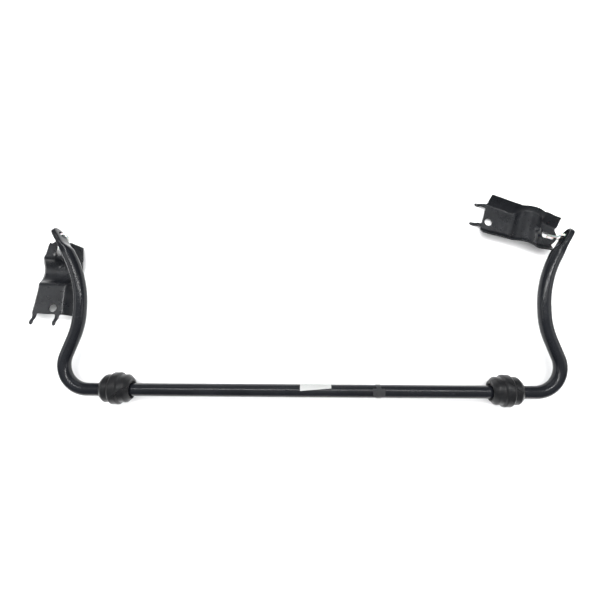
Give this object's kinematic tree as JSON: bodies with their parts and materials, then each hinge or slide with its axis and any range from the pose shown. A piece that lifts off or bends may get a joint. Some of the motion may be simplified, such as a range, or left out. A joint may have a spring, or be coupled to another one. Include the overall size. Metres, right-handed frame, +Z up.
{
  "type": "sway bar",
  "caption": "Round spring-steel sway bar with swept arms and flattened eyed ends, ribbed rubber bar bushings, and stamped saddle brackets tied to the eyes.",
  "frame": {"origin": "on the floor plane, under the middle of the whole assembly as supplied; the middle of the bar is 24.8 mm along +X and 193.7 mm along -Y from it", "axes": "+X along the bar, +Y from the bar towards the arm ends, +Z up"},
  "size_m": [1.1178, 0.4444, 0.0796],
  "materials": {
    "bar_paint": "semi-gloss black paint",
    "rubber": "satin moulded rubber",
    "liner": "matt",
    "bracket_paint": "satin black coating on stamped steel",
    "nylon": "natural nylon",
    "label_film": "matt white film",
    "band": "dark satin"
  },
  "bodies": {
    "bar": {"sway_bar": "bar_paint", "tie_left": "nylon", "tie_right": "nylon", "label": "label_film", "tag_band": "band", "tag": "band"},
    "bushing_left_unit": {"bushing_left": "rubber", "bushing_liner_left": "liner"},
    "bushing_right_unit": {"bushing_right": "rubber", "bushing_liner_right": "liner"},
    "bracket_left_unit": {"bracket_left": "bracket_paint"},
    "bracket_right_unit": {"bracket_right": "bracket_paint"}
  },
  "joints": [
    {"name": "bushing_left_turn", "type": "hinge", "parent": "bar", "child": "bushing_left_unit", "pos_m": [-0.35119, -0.19374, 0.031], "axis": [1, 0, 0], "continuous": true},
    {"name": "bushing_right_turn", "type": "hinge", "parent": "bar", "child": "bushing_right_unit", "pos_m": [0.40081, -0.19374, 0.031], "axis": [1, 0, 0], "continuous": true},
    {"name": "bracket_left_swing", "type": "hinge", "parent": "bar", "child": "bracket_left_unit", "pos_m": [-0.50688, 0.09512, 0.0298], "axis": [0, 0, 1], "range_deg": [-20, 10]},
    {"name": "bracket_right_swing", "type": "hinge", "parent": "bar", "child": "bracket_right_unit", "pos_m": [0.53527, 0.13483, 0.0075], "axis": [0, 0, 1], "range_deg": [-20, 20]}
  ]
}
